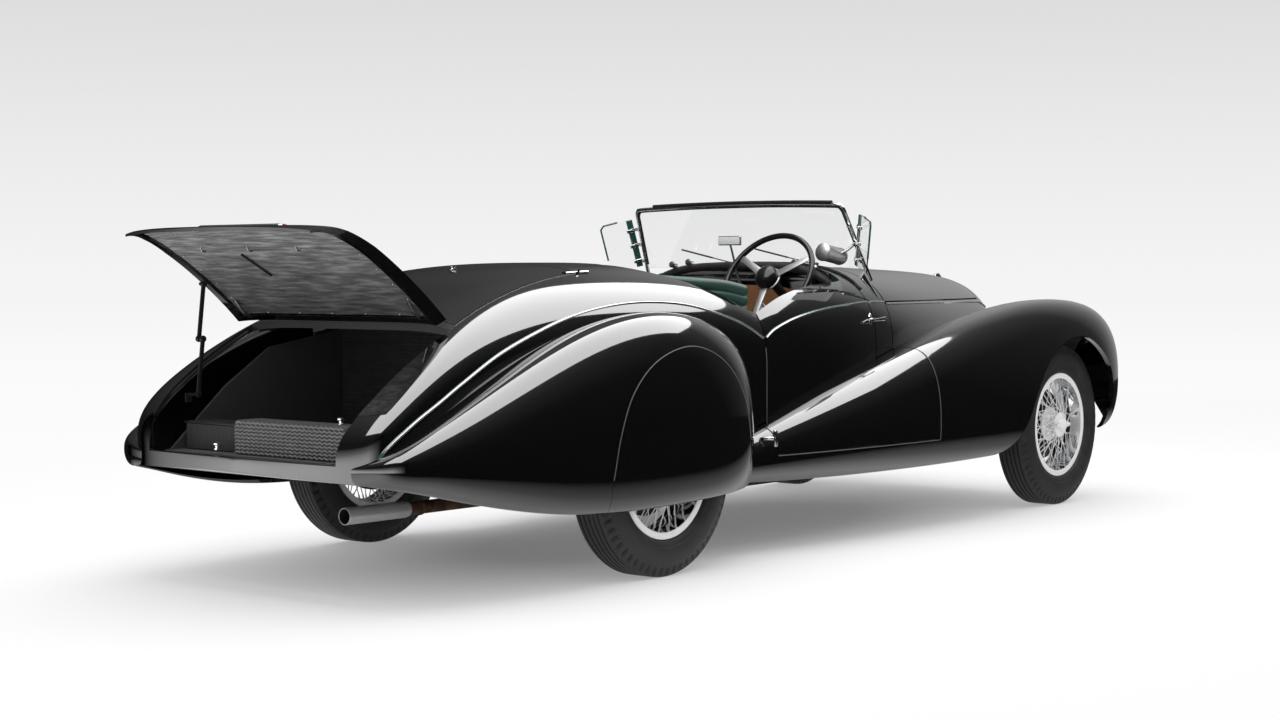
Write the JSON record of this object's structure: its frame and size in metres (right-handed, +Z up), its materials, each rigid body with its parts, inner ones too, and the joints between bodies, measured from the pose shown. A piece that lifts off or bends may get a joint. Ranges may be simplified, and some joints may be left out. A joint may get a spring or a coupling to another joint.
{
  "type": "open roadster",
  "caption": "Open roadster with long pontoon wings, covered rear wheels, rear-hinged doors, a propped boot lid, a windscreen with side vanes and wire wheels.",
  "frame": {"origin": "on the ground under the middle of the car's box, with the boot lid open as at rest", "axes": "+X forward along the car, +Y to the left, +Z up"},
  "size_m": [4.8605, 1.746, 1.3593],
  "materials": {
    "paint": "gloss",
    "chassis": "satin",
    "castings": "as cast",
    "steel": "satin",
    "chrome": "polished",
    "glass": "clear",
    "tyre": "matt",
    "leather": "satin",
    "wood": "varnished",
    "lining": "matt",
    "bakelite": "gloss"
  },
  "bodies": {
    "body": {"chassis_rail_left": "chassis", "chassis_rail_right": "chassis", "chassis_cross": "chassis", "floor_pan": "chassis", "engine": "castings", "front_axle": "castings", "front_springs": "castings", "rear_axle": "castings", "rear_springs": "castings", "exhaust": "steel", "front_body": "paint", "grille": "chrome", "headlamps": "chrome", "front_fender_left": "paint", "front_fender_right": "paint", "cowl": "paint", "dashboard": "wood", "windscreen_frame": "chrome", "windscreen_glass": "glass", "wind_wings": "glass", "steering_column": "chassis", "seat_cushion": "leather", "seat_back": "leather", "rear_mirror": "chrome", "tail_body": "paint", "rear_fender_left": "paint", "rear_fender_right": "paint", "spat_left": "paint", "spat_right": "paint", "boot_box": "lining"},
    "steering_wheel": {"steering_wheel": "bakelite"},
    "door_left": {"door_left": "paint"},
    "door_right": {"door_right": "paint"},
    "bonnet_left": {"bonnet_left": "paint"},
    "bonnet_right": {"bonnet_right": "paint"},
    "top_cover": {"top_cover": "paint"},
    "boot_lid": {"boot_lid": "paint", "lid_lamp": "chrome"},
    "stay_lower": {"boot_stay_lower": "steel"},
    "stay_upper": {"boot_stay_upper": "steel"},
    "knuckle_left": {"knuckle_left": "castings"},
    "knuckle_right": {"knuckle_right": "castings"},
    "front_wheel_left": {"tyre_front_left": "tyre", "wheel_front_left": "chrome"},
    "front_wheel_right": {"tyre_front_right": "tyre", "wheel_front_right": "chrome"},
    "rear_wheel_left": {"tyre_rear_left": "tyre", "wheel_rear_left": "chrome"},
    "rear_wheel_right": {"tyre_rear_right": "tyre", "wheel_rear_right": "chrome"}
  },
  "joints": [
    {"name": "steer_left", "type": "hinge", "parent": "body", "child": "knuckle_left", "pos_m": [1.808, 0.64, 0.3675], "axis": [0, 0, 1], "range_deg": [-28, 28]},
    {"name": "steer_right", "type": "hinge", "parent": "body", "child": "knuckle_right", "pos_m": [1.808, -0.64, 0.3675], "axis": [0, 0, 1], "range_deg": [-28, 28]},
    {"name": "steering_turn", "type": "hinge", "parent": "body", "child": "steering_wheel", "pos_m": [0.158, -0.32, 1.038], "axis": [-0.8526, 0, 0.5225], "range_deg": [-420, 420]},
    {"name": "front_spin_left", "type": "hinge", "parent": "knuckle_left", "child": "front_wheel_left", "pos_m": [1.808, 0.715, 0.3675], "axis": [0, 1, 0], "continuous": true},
    {"name": "front_spin_right", "type": "hinge", "parent": "knuckle_right", "child": "front_wheel_right", "pos_m": [1.808, -0.715, 0.3675], "axis": [0, 1, 0], "continuous": true},
    {"name": "rear_spin_left", "type": "hinge", "parent": "body", "child": "rear_wheel_left", "pos_m": [-1.092, 0.728, 0.3675], "axis": [0, 1, 0], "continuous": true},
    {"name": "rear_spin_right", "type": "hinge", "parent": "body", "child": "rear_wheel_right", "pos_m": [-1.092, -0.728, 0.3675], "axis": [0, 1, 0], "continuous": true},
    {"name": "door_swing_left", "type": "hinge", "parent": "body", "child": "door_left", "pos_m": [-0.432, 0.782, 0.5], "axis": [0, 0, 1], "range_deg": [0, 66]},
    {"name": "door_swing_right", "type": "hinge", "parent": "body", "child": "door_right", "pos_m": [-0.432, -0.782, 0.5], "axis": [0, 0, -1], "range_deg": [0, 66]},
    {"name": "bonnet_lift_left", "type": "hinge", "parent": "body", "child": "bonnet_left", "pos_m": [0.626, 0, 1.1], "axis": [0.9996, 0, -0.0271], "range_deg": [0, 50]},
    {"name": "bonnet_lift_right", "type": "hinge", "parent": "body", "child": "bonnet_right", "pos_m": [0.626, 0, 1.1], "axis": [-0.9996, 0, 0.0271], "range_deg": [0, 50]},
    {"name": "top_cover_lift", "type": "hinge", "parent": "body", "child": "top_cover", "pos_m": [-1.126, 0, 1.096], "axis": [0, 1, 0], "range_deg": [0, 70]},
    {"name": "boot_lid_lift", "type": "hinge", "parent": "body", "child": "boot_lid", "pos_m": [-1.842, 0, 0.893], "axis": [0, 1, 0], "range_deg": [-68, 0]},
    {"name": "stay_fold_lower", "type": "hinge", "parent": "body", "child": "stay_lower", "pos_m": [-2.142, 0.442, 0.64], "axis": [0, 1, 0], "range_deg": [0, 120.94]},
    {"name": "stay_fold_upper", "type": "hinge", "parent": "boot_lid", "child": "stay_upper", "pos_m": [-2.098, 0.463, 1.02], "axis": [0, 1, 0], "range_deg": [0, 41.43]}
  ],
  "couplings": [
    {"joint": "steer_right", "follows": "steer_left", "ratio": 1},
    {"joint": "steering_turn", "follows": "steer_left", "ratio": 15},
    {"joint": "stay_fold_lower", "follows": "boot_lid_lift", "ratio": -1.7786},
    {"joint": "stay_fold_upper", "follows": "boot_lid_lift", "ratio": -0.6093}
  ]
}
